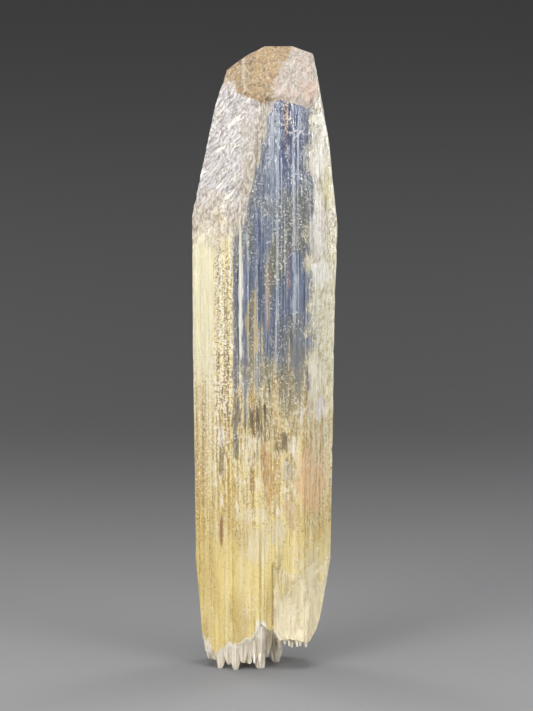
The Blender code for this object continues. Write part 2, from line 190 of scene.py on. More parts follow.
# The fine relief of each kind of surface, in millimetres along the normal
def bladeRelief(points, normals):
    x, y, z = points.T
    stretched = points * (1, 1, 0.02)
    fineStripes = latticeNoise(stretched * (2.6, 2.6, 1), 31)
    broadStripes = latticeNoise(stretched * (1.1, 1.1, 1.5), 32)
    upright = 1 - ease(np.abs(normals[:, 2]), 0.2, 0.5)
    relief = bladeShape["striation"] * (fineStripes + 0.6 * broadStripes) * upright

    etched = ease(x, -11.2, -10.0) * (1 - ease(x, -6.6, -5.6)) * ease(z, 48, 58) * (1 - ease(y, -3, -1))
    relief += bladeShape["etch"] * etched * layeredNoise(points * (1.5, 1.5, 0.8), 41)

    frosted = ease(x, 1.0, 2.4) * (1 - ease(z, 18, 23)) * (1 - ease(y, -3, -1))
    warped = points * (0.5, 0.5, 0.4) + layeredNoise(points * 0.3, 5)[:, None]
    relief += bladeShape["frost"] * frosted * layeredNoise(warped, 51)

    hatched = onPlane(points, normals, "hatch") * ease(z, 84, 88)
    along, across = points @ np.array(hatchAlong), points @ np.array(hatchAcross)
    ridges = latticeNoise(np.stack([across * 1.5, along * 0.22, y * 0.3], axis=1), 61)
    relief += bladeShape["hatch"] * hatched * ridges

    for name, seed in (("dome", 71), ("leftCap", 81), ("shoulder", 91)):
        grainy = onPlane(points, normals, name)
        relief += bladeShape["grain"] * grainy * layeredNoise(points * 1.1, seed) * 0.6

    sideways = np.maximum(ease(normals[:, 0], 0.45, 0.75), ease(-normals[:, 0], 0.45, 0.75) / 3)
    bites = ease(layeredNoise(points * (0.75, 0.75, 0.50), 111), 0.15, 0.95)
    relief -= bladeShape["chip"] * sideways * bites * ease(z, 24, 50)

    fluted = 1 - ease(z, 6.5, 9.5)
    relief += bladeShape["flute"] * fluted * latticeNoise(points * (2.4, 2.4, 0.25), 101)
    return relief


# The line inside the blade that its columns look out from: its two ends and its depth
def spineAt(z):
    share = ease(z, bladeShape["spineKnee"], 124.4)
    left, right, depth = bladeShape["tipSpine"]
    end = bladeShape["spineEnd"]
    return -end + share * (left + end), end + share * (right - end), share * depth


# Where round the spine a column stands, from 0 at the left end of the front, and the way it looks
def columnPlan():
    s = bladeShape
    plan = [(k / s["frontColumns"], -math.pi / 2) for k in range(s["frontColumns"])]
    plan += [(1.0, -math.pi / 2 + math.pi * k / s["sideColumns"]) for k in range(s["sideColumns"])]
    plan += [(1 - k / s["backColumns"], math.pi / 2) for k in range(s["backColumns"])]
    plan += [(0.0, math.pi / 2 + math.pi * k / s["sideColumns"]) for k in range(s["sideColumns"])]
    return plan


# How far round the blade a point stands, in the order of columnPlan
def roundPlace(point):
    left, right, depth = spineAt(point[2])
    x, y = point[0], point[1] - depth
    if x > right:
        return 1 + (math.atan2(y, x - right) + math.pi / 2) / math.pi
    if x < left:
        return 3 + ((math.atan2(y, x - left) - math.pi / 2) % (2 * math.pi)) / math.pi
    share = (x - left) / (right - left)
    return share if y < 0 else 3 - share


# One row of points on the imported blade's skin
def skinRow(tree, plan, z):
    left, right, depth = spineAt(z)
    row = []
    for share, angle in plan:
        middle = Vector((left + share * (right - left), depth, z))
        out = Vector((math.cos(angle), math.sin(angle), 0))
        hit = tree.ray_cast((middle + out * 30) * mm, -out)[0]
        row.append(tuple(hit / mm))
    return row


# The open upper edge of the foot's skin, point by point, with how far round each one stands
def footRim(points, faces):
    onRim = np.abs(points[:, 2] - bladeShape["footTop"]) < 1e-6
    after = {}
    for a, b, c in faces:
        for start, end in ((a, b), (b, c), (c, a)):
            if onRim[start] and onRim[end]:
                after[start] = end
    start = min(after, key=lambda i: roundPlace(points[i]))
    loop = [start]
    while after[loop[-1]] != start:
        loop.append(after[loop[-1]])
    places = [roundPlace(points[i]) for i in loop]
    if places[len(places) // 3] > places[2 * len(places) // 3]:
        loop, places = [start] + loop[:0:-1], [places[0]] + places[:0:-1]
    return loop, np.maximum.accumulate(places)


# Faces between two closed rows that differ in their number of points
def stitchRows(low, lowPlaces, high, highPlaces, total=4.0):
    faces, i, j = [], 0, 0
    while i < len(low) or j < len(high):
        a, b = low[i % len(low)], high[j % len(high)]
        nextLow = lowPlaces[i + 1] if i + 1 < len(low) else total
        nextHigh = highPlaces[j + 1] if j + 1 < len(high) else total
        if j >= len(high) or (i < len(low) and nextLow <= nextHigh):
            i += 1
            faces.append((a, low[i % len(low)], b))
        else:
            j += 1
            faces.append((a, high[j % len(high)], b))
    return faces


# The long body and the tip, row on row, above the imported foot
def bladeSkin(node, footPoints, footFaces):
    tree = BVHTree.FromObject(node, bpy.context.evaluated_depsgraph_get())
    plan = columnPlan()
    count = len(plan)
    levels = [z for low, high, step in bladeShape["rowHeights"] for z in np.arange(low, high, step)]
    levels.append(124.38)
    points = [tuple(p) for p in footPoints]
    first = len(points)
    for z in levels:
        points += skinRow(tree, plan, z)
    faces = [tuple(f) for f in footFaces]
    for row in range(len(levels) - 1):
        base = first + row * count
        for k in range(count):
            a, b = base + k, base + (k + 1) % count
            faces += [(a, b, b + count), (a, b + count, a + count)]
    rim, rimPlaces = footRim(footPoints, footFaces)
    firstRow = list(range(first, first + count))
    rowPlaces = np.maximum.accumulate([roundPlace(points[i]) for i in firstRow])
    faces += stitchRows(rim, rimPlaces, firstRow, rowPlaces)
    top = first + (len(levels) - 1) * count
    crown = np.mean(points[top:top + count], axis=0)
    points.append((crown[0], crown[1], 124.4))
    faces += [(top + k, top + (k + 1) % count, len(points) - 1) for k in range(count)]
    return np.array(points), np.array(faces)


def bladeMesh(node):
    triangles = nodeTriangles(node)
    low, high = triangles.reshape(-1, 3).min(axis=0), triangles.reshape(-1, 3).max(axis=0)
    triangles = sliceAcross(triangles, 2, np.array([bladeShape["footTop"]]))
    triangles = triangles[triangles[:, :, 2].mean(axis=1) < bladeShape["footTop"]]
    for axis, step in enumerate(bladeShape["footSlices"]):
        planes = np.arange(low[axis] + step / 2, high[axis], step)
        if axis == 2:
            planes = planes[planes < bladeShape["footTop"] - 0.1]
        triangles = sliceAcross(triangles, axis, planes)
    points, faces = bladeSkin(node, *weld(triangles))
    print("skin laid:", len(points), "points,", len(faces), "triangles")
    normals = cornerNormals(points, faces)
    shaped = points + normals * bladeRelief(points, normals)[:, None]
    shaped = np.clip(shaped, low, high)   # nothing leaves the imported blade's box
    resting = points[:, 2] < 0.05         # the tips stay flat where they meet the floor
    shaped[resting, 2] = points[resting, 2]
    mesh = bpy.data.meshes.new("kunziteBlade")
    mesh.from_pydata((shaped * mm).tolist(), [], faces.tolist())
    mesh.validate()
    mesh.shade_smooth()
    mesh.set_sharp_from_angle(angle=math.radians(bladeShape["edgeAngle"]))
    return mesh


# Short ways to write nodes: each takes and gives sockets, and a number may stand for a socket
class Nodes:
    def __init__(self, material):
        material.use_nodes = True
        self.tree = material.node_tree
        self.shader = self.tree.nodes["Principled BSDF"]
        self.out = self.tree.nodes["Material Output"]

    def add(self, kind, **settings):
        node = self.tree.nodes.new(kind)
        for name, value in settings.items():
            setattr(node, name, value)
        return node

    def feed(self, socket, value):
        if isinstance(value, bpy.types.NodeSocket):
            self.tree.links.new(value, socket)
        else:
            socket.default_value = value

    def math(self, operation, *values):
        node = self.add("ShaderNodeMath", operation=operation)
        for socket, value in zip(node.inputs, values):
            self.feed(socket, value)
        return node.outputs[0]

    def ease(self, value, start, end):
        node = self.add("ShaderNodeMapRange", interpolation_type="SMOOTHSTEP")
        self.feed(node.inputs["Value"], value)
        node.inputs["From Min"].default_value = start
        node.inputs["From Max"].default_value = end
        return node.outputs["Result"]

    def band(self, value, start, end, soft):
        rise = self.ease(value, start - soft, start + soft)
        fall = self.ease(value, end + soft, end - soft)
        return self.math("MULTIPLY", rise, fall)

    def product(self, *values):
        total = values[0]
        for value in values[1:]:
            total = self.math("MULTIPLY", total, value)
        return total

    def most(self, *values):
        total = values[0]
        for value in values[1:]:
            total = self.math("MAXIMUM", total, value)
        return total

    def parts(self, vector):
        node = self.add("ShaderNodeSeparateXYZ")
        self.feed(node.inputs[0], vector)
        return node.outputs

    def join(self, *values):
        node = self.add("ShaderNodeCombineXYZ")
        for socket, value in zip(node.inputs, values):
            self.feed(socket, value)
        return node.outputs[0]

    def dot(self, vector, direction):
        node = self.add("ShaderNodeVectorMath", operation="DOT_PRODUCT")
        self.feed(node.inputs[0], vector)
        node.inputs[1].default_value = direction
        return node.outputs["Value"]

    def stretch(self, vector, scale, move=(0, 0, 0)):
        node = self.add("ShaderNodeMapping")
        self.feed(node.inputs["Vector"], vector)
        node.inputs["Scale"].default_value = scale
        node.inputs["Location"].default_value = move
        return node.outputs[0]

    def noise(self, vector, scale=1.0, detail=2.0, rough=0.5, warp=0.0):
        node = self.add("ShaderNodeTexNoise")
        self.feed(node.inputs["Vector"], vector)
        node.inputs["Scale"].default_value = scale
        node.inputs["Detail"].default_value = detail
        node.inputs["Roughness"].default_value = rough
        node.inputs["Distortion"].default_value = warp
        return node.outputs["Fac"]

    def mix(self, share, first, second, how="MIX"):
        node = self.add("ShaderNodeMix", data_type="RGBA", blend_type=how)
        self.feed(node.inputs[0], share)
        self.feed(node.inputs[6], first)
        self.feed(node.inputs[7], second)
        return node.outputs[2]

    def bump(self, height, strength, distance, normal=None):
        node = self.add("ShaderNodeBump")
        self.feed(node.inputs["Height"], height)
        self.feed(node.inputs["Strength"], strength)
        node.inputs["Distance"].default_value = distance
        if normal is not None:
            self.feed(node.inputs["Normal"], normal)
        return node.outputs[0]


# A colour written as 0-255 screen values
def shade(red, green, blue):
    return tuple(((v / 255 + 0.055) / 1.055) ** 2.4 if v > 10 else v / 255 / 12.92
                 for v in (red, green, blue)) + (1.0,)


# What a user would change about the crystal's finish
crystalFinish = {
    "honey": shade(249, 231, 158),
    "deepHoney": shade(190, 160, 82),
    "bodyPale": shade(250, 238, 190),
    "cream": shade(243, 237, 204),
    # The window colours are painted see-through darkness and a painted bluish reflection, not the crystal's
    # own colour
    "window": shade(106, 122, 150),
    "windowDeep": shade(50, 68, 112),
    "amber": shade(196, 160, 84),
    "windowGrey": shade(112, 112, 100),
    "lilac": shade(214, 212, 222),
    "lilacLine": shade(96, 84, 84),
    "tan": shade(168, 131, 66),
    "tanPale": shade(196, 164, 108),
    "tanDark": shade(84, 60, 34),
    "brownGrain": shade(128, 108, 84),
    "greyGrain": shade(214, 204, 190),
    "salmon": shade(200, 176, 158),
    "salmonLine": shade(128, 106, 92),
    "shoulder": shade(206, 196, 184),
    "slot": shade(44, 52, 68),
    "grit": shade(112, 98, 66),
    "thread": shade(196, 204, 214),
    "frost": shade(240, 234, 216),
    "block": shade(250, 240, 208),
    "blockDeep": shade(222, 208, 170),
    "tooth": shade(246, 240, 230),
    "toothCore": shade(214, 204, 190),
    "white": shade(255, 252, 244),
    "clear": 0.62,             # share of the light that passes into the crystal
    "bending": 1.66,           # index of refraction of spodumene
    "tint": (0.98, 0.93, 0.74, 1.0),
    "tintDensity": 12.0,
}

# Noises of the finish: scale each way, shift, detail and roughness
crystalGrains = {
    "broad": ((0.55, 0.55, 0.010), (0, 0, 0), 2, 0.5),
    "lines": ((1.35, 1.35, 0.016), (7, 3, 1), 2, 0.6),
    "hairs": ((2.4, 2.4, 0.022), (1, 8, 5), 2, 0.6),
    "dashes": ((1.9, 1.9, 0.22), (4, 2, 9), 2, 0.6),
    "grit": ((2.4, 2.4, 1.0), (5, 6, 2), 3, 0.75),
    "streak": ((2.6, 2.6, 0.10), (3, 1, 7), 3, 0.7),
    "feather": ((1.0, 1.0, 0.22), (2, 9, 4), 3, 0.6),
    "cloud": ((0.16, 0.16, 0.06), (0, 0, 0), 2, 0.5),
    "sand": ((2.3, 2.3, 1.6), (0, 0, 0), 3, 0.75),
}

# Where the zones of the finish begin and end, across the blade (x) or up it (z)
crystalZones = {
    "leftStripX": (-9.6, -10.8),
    "leftStripZ": (30, 66),
    "rightStripX": (7.4, 9.6),
    "rightStripZ": (22, 62),
    "windowSlant": (0.235, -26.83, -6.4),   # left edge of the window: slope, offset and least x
    "windowRight": (10.2, 7.8),
    "windowFoot": (48, 68),
    "deepBlueX": (1.5, 4.5),
    "deepBlueZ": (98, 106),
    "amberZ": (34, 58),
    "gapsX": (-9.5, 6.5),
    "gapsZ": (38, 62),
    "speckledX": (-10.0, -6.5),
    "speckledZ": (50, 86),
    "pittedZ": (28, 64),
    "hatchedZ": (82, 92),
    "blockX": (1.4, 2.0),
    "blockTop": (27, 15),
}

# Single marks seen through the front:
# x, height, half width, half height, colour, strength and the share of it that is broken into lines
bladeMarks = [
    (-4.8, 77.0, 0.42, 20.0, shade(252, 250, 240), 1.00, 0.15),    # the bright band beside the window
    (-5.95, 71.0, 0.50, 21.0, shade(58, 76, 120), 0.90, 0.25),     # dark blue stripes on both sides of it
    (-3.75, 74.0, 0.35, 18.0, shade(66, 84, 128), 0.80, 0.35),
    (4.2, 110.5, 0.32, 6.0, shade(176, 128, 84), 0.85, 0.30),      # tan threads at the top of the window
    (-2.5, 70.0, 1.2, 7.0, shade(222, 196, 130), 0.70, 0.80),      # gold threads that climb into the window
    (0.55, 76.0, 0.35, 9.0, shade(204, 164, 120), 0.55, 0.60),
    (4.6, 81.0, 0.30, 5.0, shade(206, 160, 124), 0.65, 0.60),
    (5.5, 62.0, 2.6, 9.0, shade(92, 90, 82), 0.60, 0.60),          # grey-green low end of the window
    (-6.0, 52.0, 0.75, 3.2, shade(58, 62, 74), 0.95, 0.55),        # dark windows and slots
    (-5.8, 45.3, 0.60, 2.2, shade(66, 70, 80), 0.85, 0.50),
    (-8.7, 42.6, 0.55, 4.0, shade(50, 52, 62), 0.90, 0.55),
    (-1.2, 50.5, 3.2, 3.6, shade(76, 60, 34), 0.95, 0.90),
    (3.4, 46.5, 2.0, 2.4, shade(76, 62, 40), 0.90, 0.90),
    (-8.7, 27.8, 0.34, 3.2, shade(132, 84, 48), 0.95, 0.25),       # brown wedge
    (0.9, 39.0, 1.1, 5.6, shade(206, 158, 92), 0.75, 0.35),        # orange streaks
    (-0.4, 42.5, 0.5, 4.6, shade(178, 118, 72), 0.75, 0.35),
    (-2.7, 40.0, 0.3, 3.4, shade(150, 104, 68), 0.70, 0.40),
    (9.2, 38.5, 3.4, 6.6, shade(238, 194, 152), 0.75, 0.25),       # salmon tint at the right
    (4.6, 40.6, 1.5, 2.2, shade(196, 192, 180), 0.70, 0.60),
    (5.6, 32.0, 2.0, 3.6, shade(206, 176, 140), 0.60, 0.45),
    (11.2, 80.0, 1.7, 2.8, shade(255, 253, 246), 0.95, 0.30),      # bright chips of the right strip
    (10.2, 58.0, 1.6, 5.5, shade(254, 248, 228), 0.85, 0.35),
    (10.8, 53.0, 1.0, 2.4, shade(234, 230, 236), 0.85, 0.30),
    (10.6, 88.5, 1.8, 7.0, shade(238, 230, 226), 0.70, 0.35),
    (-8.6, 47.5, 0.7, 2.2, shade(255, 253, 248), 0.90, 0.60),      # bright spots of the middle
    (-3.0, 45.0, 1.3, 3.2, shade(255, 250, 232), 0.75, 0.85),
    (5.6, 45.5, 0.9, 2.2, shade(255, 252, 240), 0.85, 0.60),
    (-1.9, 31.5, 3.0, 1.3, shade(250, 242, 214), 0.70, 0.70),
    (2.5, 32.5, 0.5, 1.2, shade(255, 252, 244), 0.90, 0.40),
    (-1.6, 25.5, 2.6, 4.0, shade(236, 228, 206), 0.65, 0.35),
    (2.9, 28.5, 1.6, 2.6, shade(222, 214, 196), 0.70, 0.45),       # top corner of the frosted block
    (8.6, 115.6, 1.8, 1.8, shade(198, 160, 136), 0.70, 0.20),      # pink patch of the right shoulder
    (11.6, 104.0, 2.2, 12.0, shade(236, 226, 214), 0.75, 0.60),    # paler upper end of the right strip
    (12.2, 97.0, 1.0, 4.5, shade(216, 206, 128), 0.60, 0.50),      # greenish patch on it
    (-3.2, 104.0, 1.3, 8.0, shade(164, 150, 132), 0.70, 0.90),     # brown border beside the window
    (-0.9, 8.0, 1.6, 2.2, shade(255, 254, 250), 0.90, 0.40),       # bright rim over the foot
    (-11.8, 3.6, 1.2, 2.6, shade(250, 246, 240), 0.80, 0.20),
]


# Patches of curly light lines: x, height, half width, half height
scribbles = [
    (5.6, 108.6, 2.2, 3.0), (-2.0, 31.5, 3.2, 2.2), (4.8, 37.0, 1.6, 3.0), (10.9, 72.0, 1.6, 8.0),
    (11.4, 100.0, 2.0, 12.0), (-10.6, 52.0, 1.6, 12.0), (8.6, 20.0, 3.0, 5.0), (-1.2, 12.5, 3.2, 2.6),
]


# Where the honey body ends above the clear teeth: x and height
footLine = [
    (-13.0, 7.2), (-12.2, 6.4), (-11.2, 3.8), (-9.9, 2.9), (-8.4, 4.2), (-7.0, 5.3), (-5.6, 4.8),
    (-4.0, 6.0), (-2.8, 6.2), (-1.4, 8.4), (-0.4, 9.6), (0.8, 7.8), (2.2, 7.2), (3.4, 5.6), (12.0, 5.0),
]
footScale = 10.0   # the curve that holds the line runs from 0 to 1


# Height of the foot's line at a place across the blade
def footHeight(n, x):
    first, last = footLine[0][0], footLine[-1][0]
    node = n.add("ShaderNodeFloatCurve")
    curve = node.mapping.curves[0]
    for place, height in footLine[1:-1]:
        curve.points.new((place - first) / (last - first), height / footScale)
    curve.points[0].location = (0.0, footLine[0][1] / footScale)
    curve.points[-1].location = (1.0, footLine[-1][1] / footScale)
    for point in curve.points:
        point.handle_type = "VECTOR"
    node.mapping.update()
    width = last - first
    n.feed(node.inputs["Value"], n.math("MULTIPLY_ADD", x, 1 / width, -first / width))
    return n.math("MULTIPLY", node.outputs[0], footScale)


# A plane's own share of the surface: 1 on the face and 0 away from it
def planeMask(n, place, name, reach):
    point, normal = etchedPlanes[name]
    normal = Vector(normal).normalized()
    offset = n.math("ABSOLUTE", n.math("SUBTRACT", n.dot(place, normal), normal.dot(Vector(point))))
    return n.ease(offset, reach, reach * 0.6)


# An oval mark whose edge is uneven and whose inside breaks up into lines
def markMask(n, x, z, wave, grit, mark):
    atX, atZ, halfWidth, halfHeight, colour, strength, lined = mark
    across = n.math("MULTIPLY", n.math("SUBTRACT", x, atX), 1 / halfWidth)
    along = n.math("MULTIPLY", n.math("SUBTRACT", z, atZ), 1 / halfHeight)
    away = n.math("ADD", n.math("MULTIPLY", across, across), n.math("MULTIPLY", along, along))
    away = n.math("ADD", n.math("SQRT", away), n.math("MULTIPLY_ADD", wave, 2.4, -1.2))
    lines = n.math("MULTIPLY_ADD", n.ease(grit, 0.42, 0.58), lined, 1 - lined)
    return n.math("MULTIPLY", n.product(n.ease(away, 1.15, 0.75), lines), strength)


# Thin lines where a noise passes one level
def levelLines(n, noise, level, width):
    return n.ease(n.math("ABSOLUTE", n.math("SUBTRACT", noise, level)), width, width * 0.35)


def crystalMaterial():
    look, zone = crystalFinish, crystalZones
    material = bpy.data.materials.new("clear_spodumene")
    n = Nodes(material)
    source = n.add("ShaderNodeTexCoord").outputs["Object"]
    place = n.stretch(source, (1 / mm,) * 3)
    x, y, z = n.parts(place)
    front = n.ease(y, 0.5, -0.5)
    wander = n.noise(place, 0.30, 3)
    fineWander = n.noise(place, 1.3, 3)
    ragged = n.math("MULTIPLY_ADD", fineWander, 2.0, -1.0)
    zRagged = n.math("ADD", z, n.math("MULTIPLY_ADD", wander, 16.0, -8.0))
    xRagged = n.math("ADD", x, n.math("MULTIPLY", ragged, 0.7))

    # Lines that run the length of the blade, from broad ones to short dashes, and finer grains
    broad, lines, hairs, dashes, grit, streak, feather, cloud, sand = (
        n.noise(n.stretch(place, scale, shift), 1.0, detail, rough)
        for scale, shift, detail, rough in crystalGrains.values())
    speck = n.noise(place, 2.3, 2, 0.7)

    hatched = n.product(planeMask(n, place, "hatch", 0.9), n.ease(zRagged, *zone["hatchedZ"]))
    dome = planeMask(n, place, "dome", 0.8)
    leftCap = planeMask(n, place, "leftCap", 0.8)
    shoulder = planeMask(n, place, "shoulder", 0.8)
    tip = n.most(hatched, dome, shoulder, leftCap)
    body = n.math("SUBTRACT", 1.0, tip)

    # The honey body, paler at its margins
    evenLow = n.math("MULTIPLY", n.ease(zRagged, 38, 22), 0.72)
    honeyed = n.math("MAXIMUM", n.ease(lines, 0.36, 0.62), evenLow)
    colour = n.mix(honeyed, look["deepHoney"], look["honey"])
    colour = n.mix(n.product(n.ease(broad, 0.44, 0.66), 0.75), colour, look["bodyPale"])
    leftStrip = n.product(n.ease(xRagged, *zone["leftStripX"]), n.ease(zRagged, *zone["leftStripZ"]))
    rightEdge = n.math("ADD", xRagged, n.math("MULTIPLY_ADD", wander, 6.0, -3.0))
    rightStrip = n.product(n.ease(rightEdge, *zone["rightStripX"]), n.ease(zRagged, *zone["rightStripZ"]))
    colour = n.mix(n.product(n.most(leftStrip, rightStrip), 0.85), colour, look["cream"])

    clouded = n.product(n.ease(cloud, 0.44, 0.58), n.ease(zRagged, 40, 26))
    colour = n.mix(n.product(clouded, 0.50), colour, look["deepHoney"])
    frayed = n.product(n.ease(speck, 0.46, 0.38), n.ease(zRagged, 44, 30))
    colour = n.mix(n.product(frayed, 0.45), colour, look["deepHoney"])

    # The clear window, which breaks up into streaks at its lower end. Its blue-grey is painted: a painted
    # view of the dark backdrop through the crystal and a painted bluish reflection, laid on the outer
    # faces.
    slope, offset, least = zone["windowSlant"]
    slant = n.math("MAXIMUM", n.math("MULTIPLY_ADD", z, slope, offset), least)
    pastSlant = n.math("SUBTRACT", xRagged, slant)
    window = n.product(n.ease(pastSlant, -0.2, 1.2), n.ease(rightEdge, *zone["windowRight"]))
    lowEnd = n.math("ADD", zRagged, n.math("MULTIPLY_ADD", lines, 70.0, -35.0))
    windowed = n.product(window, n.ease(lowEnd, *zone["windowFoot"]), body)
    blue = n.mix(n.ease(lines, 0.38, 0.60), look["windowDeep"], look["window"])
    blue = n.mix(n.product(n.ease(cloud, 0.46, 0.60), n.ease(z, 112, 84)), blue, look["windowGrey"])
    deepTop = n.product(n.ease(xRagged, *zone["deepBlueX"]), n.ease(z, *zone["deepBlueZ"]))
    blue = n.mix(n.product(deepTop, 0.6), blue, look["windowDeep"])
    ambered = n.product(n.band(zRagged, *zone["amberZ"], 6), body, n.ease(lines, 0.60, 0.42), 0.60)
    colour = n.mix(ambered, colour, look["amber"])
    colour = n.mix(windowed, colour, blue)

    # Bright and dark threads, close together in the window and sparse below it
    threads = n.product(n.ease(hairs, 0.55, 0.62), n.math("MULTIPLY_ADD", windowed, 0.15, 0.45), body)
    threads = n.product(threads, n.math("MULTIPLY_ADD", n.ease(z, 22, 46), 0.6, 0.4))
    colour = n.mix(threads, colour, n.mix(windowed, look["cream"], look["thread"]))
    dark = n.product(n.ease(hairs, 0.44, 0.38), n.math("MULTIPLY_ADD", windowed, 0.40, 0.15), body)
    dark = n.product(dark, n.ease(z, 16, 46))
    colour = n.mix(dark, colour, look["slot"])
    glints = n.product(n.ease(dashes, 0.58, 0.64), body, n.ease(x, -11.5, -9.5), n.ease(z, 20, 34))
    colour = n.mix(n.product(glints, n.math("MULTIPLY_ADD", windowed, -0.35, 0.60)), colour, look["white"])
    gapZone = n.product(body, n.band(z, *zone["gapsZ"], 6), n.band(x, *zone["gapsX"], 1.5))
    gaps = n.product(n.ease(dashes, 0.42, 0.36), gapZone)
    colour = n.mix(n.product(gaps, 0.60), colour, look["slot"])

    # The speckled zone between the left strip and the window
    speckled = n.product(n.band(xRagged, *zone["speckledX"], 0.5), body)
    speckled = n.product(speckled, n.band(zRagged, *zone["speckledZ"], 4))
    flecks = n.product(speckled, n.ease(speck, 0.52, 0.60), n.ease(hairs, 0.38, 0.50))
    colour = n.mix(n.product(flecks, 0.7), colour, look["white"])
    colour = n.mix(n.product(speckled, n.ease(speck, 0.48, 0.40), 0.6), colour, look["slot"])
    scattered = n.product(n.ease(speck, 0.59, 0.65), n.ease(cloud, 0.40, 0.55), body, n.ease(z, 26, 40))
    colour = n.mix(n.product(scattered, 0.8), colour, look["white"])
    pitted = n.product(n.ease(speck, 0.42, 0.36), n.band(zRagged, *zone["pittedZ"], 5), body)
    colour = n.mix(n.product(pitted, 0.45), colour, look["grit"])

    # Etched faces of the tip
    along = n.dot(place, hatchAlong)
    across = n.math("ADD", n.dot(place, hatchAcross), n.math("MULTIPLY_ADD", wander, 2.4, -1.2))
    hatchPlace = n.join(n.math("MULTIPLY", across, 1.5), 0.0, n.math("MULTIPLY", along, 0.17))
    hatchLines = n.noise(hatchPlace, 1.0, 2, 0.5)
    bordered = n.ease(n.math("MULTIPLY_ADD", ragged, 0.8, pastSlant), -3.2, 0.0)
    grainy = n.most(n.product(bordered, n.ease(z, 92, 98)), n.band(zRagged, 86, 95, 3))
    creases = n.most(*(levelLines(n, hatchLines, level, 0.026) for level in (0.42, 0.50, 0.58)))
    hatchColour = n.mix(n.product(n.ease(hatchLines, 0.50, 0.62), 0.85), look["lilac"], look["white"])
    hatchColour = n.mix(n.product(creases, 0.95), hatchColour, look["lilacLine"])
    grain = n.mix(n.ease(grit, 0.42, 0.58), look["brownGrain"], look["greyGrain"])
    hatchColour = n.mix(n.product(grainy, 0.8), hatchColour, grain)
    wrinkles = n.product(rightStrip, n.math("MULTIPLY_ADD", n.ease(zRagged, 60, 88), 0.30, 0.25), creases)
    colour = n.mix(wrinkles, colour, look["salmonLine"])
    colour = n.mix(n.most(hatched, leftCap), colour, hatchColour)

    pits = n.product(leftCap, n.ease(n.math("ADD", z, n.math("MULTIPLY", ragged, 2.0)), 115.6, 118.2))
    domeColour = n.mix(n.ease(sand, 0.40, 0.49), look["tanDark"], look["tan"])
    domeColour = n.mix(n.product(n.ease(feather, 0.52, 0.66), 0.60), domeColour, look["tanPale"])
    # Painted shade: the dome is darkened towards its low middle
    lowDome = n.ease(n.math("MULTIPLY_ADD", ragged, 2.0, z), 117.5, 115.5)
    paintedDomeShade = n.product(n.band(x, -0.8, 1.6, 0.8), lowDome)
    domeColour = n.mix(n.product(paintedDomeShade, n.ease(speck, 0.56, 0.44), 0.7), domeColour, look["tanDark"])
    domeColour = n.mix(n.product(leftCap, n.ease(speck, 0.54, 0.44), 0.6), domeColour, look["tanDark"])
    colour = n.mix(n.most(dome, pits), colour, domeColour)
    shoulderColour = n.mix(n.ease(feather, 0.40, 0.60), look["salmon"], look["shoulder"])
    shoulderColour = n.mix(n.product(creases, 0.8), shoulderColour, look["salmonLine"])
    colour = n.mix(shoulder, colour, shoulderColour)
    crest = n.product(n.band(n.math("MULTIPLY_ADD", ragged, 0.9, x), -4.4, -3.9, 0.25), n.ease(z, 113, 116))
    colour = n.mix(n.product(crest, 0.45), colour, look["frost"])

    # Frosted lower right, clear pale foot
    uneven = n.math("MULTIPLY_ADD", wander, 26.0, -10.0)
    blockHeight = n.math("ADD", z, n.math("MULTIPLY_ADD", x, -0.35, uneven))
    frosted = n.product(n.ease(x, *zone["blockX"]), n.ease(blockHeight, *zone["blockTop"]))
    blockColour = n.mix(n.ease(feather, 0.36, 0.60), look["blockDeep"], look["block"])
    blockColour = n.mix(n.product(n.ease(speck, 0.48, 0.38), 0.45), blockColour, look["greyGrain"])
    blockColour = n.mix(n.product(n.ease(feather, 0.42, 0.34), 0.35), blockColour, look["grit"])
    colour = n.mix(n.product(frosted, 0.85), colour, blockColour)
    # Painted shadow: a dark streak near the top of the frosted block, drawn in the grit colour
    shadow = n.product(n.band(x, 1.6, 4.0, 0.8), n.band(zRagged, 17, 25, 3), n.ease(dashes, 0.55, 0.45))
    colour = n.mix(n.product(shadow, 0.5), colour, look["grit"])
    overFoot = n.math("SUBTRACT", n.math("MULTIPLY_ADD", ragged, 0.6, z), footHeight(n, x))
    foot = n.ease(overFoot, 0.5, -0.3)
    toothColour = n.mix(n.ease(hairs, 0.58, 0.44), look["tooth"], look["toothCore"])
    colour = n.mix(n.product(foot, 0.9), colour, toothColour)
    rim = n.product(n.band(overFoot, -0.5, 0.5, 0.3), n.band(x, -9.0, 4.0, 2.0))
    colour = n.mix(n.product(rim, 0.8), colour, look["white"])

    curls = levelLines(n, n.noise(place, 0.75, 1, 0.5, 1.2), 0.5, 0.022)
    for patch in scribbles:
        share = markMask(n, x, z, feather, curls, patch + (None, 0.9, 0.0))
        colour = n.mix(n.product(share, curls, front), colour, look["white"])
    for mark in bladeMarks:
        share = markMask(n, x, z, feather, dashes if mark[3] < 6 else hairs, mark)
        colour = n.mix(n.product(share, front), colour, mark[4])

    # Fine grit over everything, light and dark
    gritty = n.math("MULTIPLY_ADD", n.ease(z, 22, 44), 0.32, 0.25)
    calm = n.most(windowed, leftStrip, n.product(dome, 0.6), n.product(rightStrip, 0.3))
    gritty = n.product(gritty, n.math("MULTIPLY_ADD", calm, -0.6, 1.0))
    paler = n.math("MULTIPLY_ADD", windowed, -0.5, 1.0)
    colour = n.mix(n.product(n.ease(grit, 0.50, 0.70), gritty, paler), colour, look["white"])
    darker = n.mix(n.product(body, 0.6), grit, streak)
    colour = n.mix(n.product(n.ease(darker, 0.50, 0.34), gritty), colour, look["grit"])

    n.feed(n.shader.inputs["Base Color"], colour)
    rough = n.math("MULTIPLY_ADD", fineWander, 0.12, 0.08)
    rough = n.math("ADD", rough, n.product(n.most(dome, shoulder, hatched, leftCap), 0.26))
    rough = n.math("ADD", rough, n.product(frosted, 0.20))
    rough = n.math("SUBTRACT", rough, n.product(foot, 0.04))
    n.feed(n.shader.inputs["Roughness"], rough)

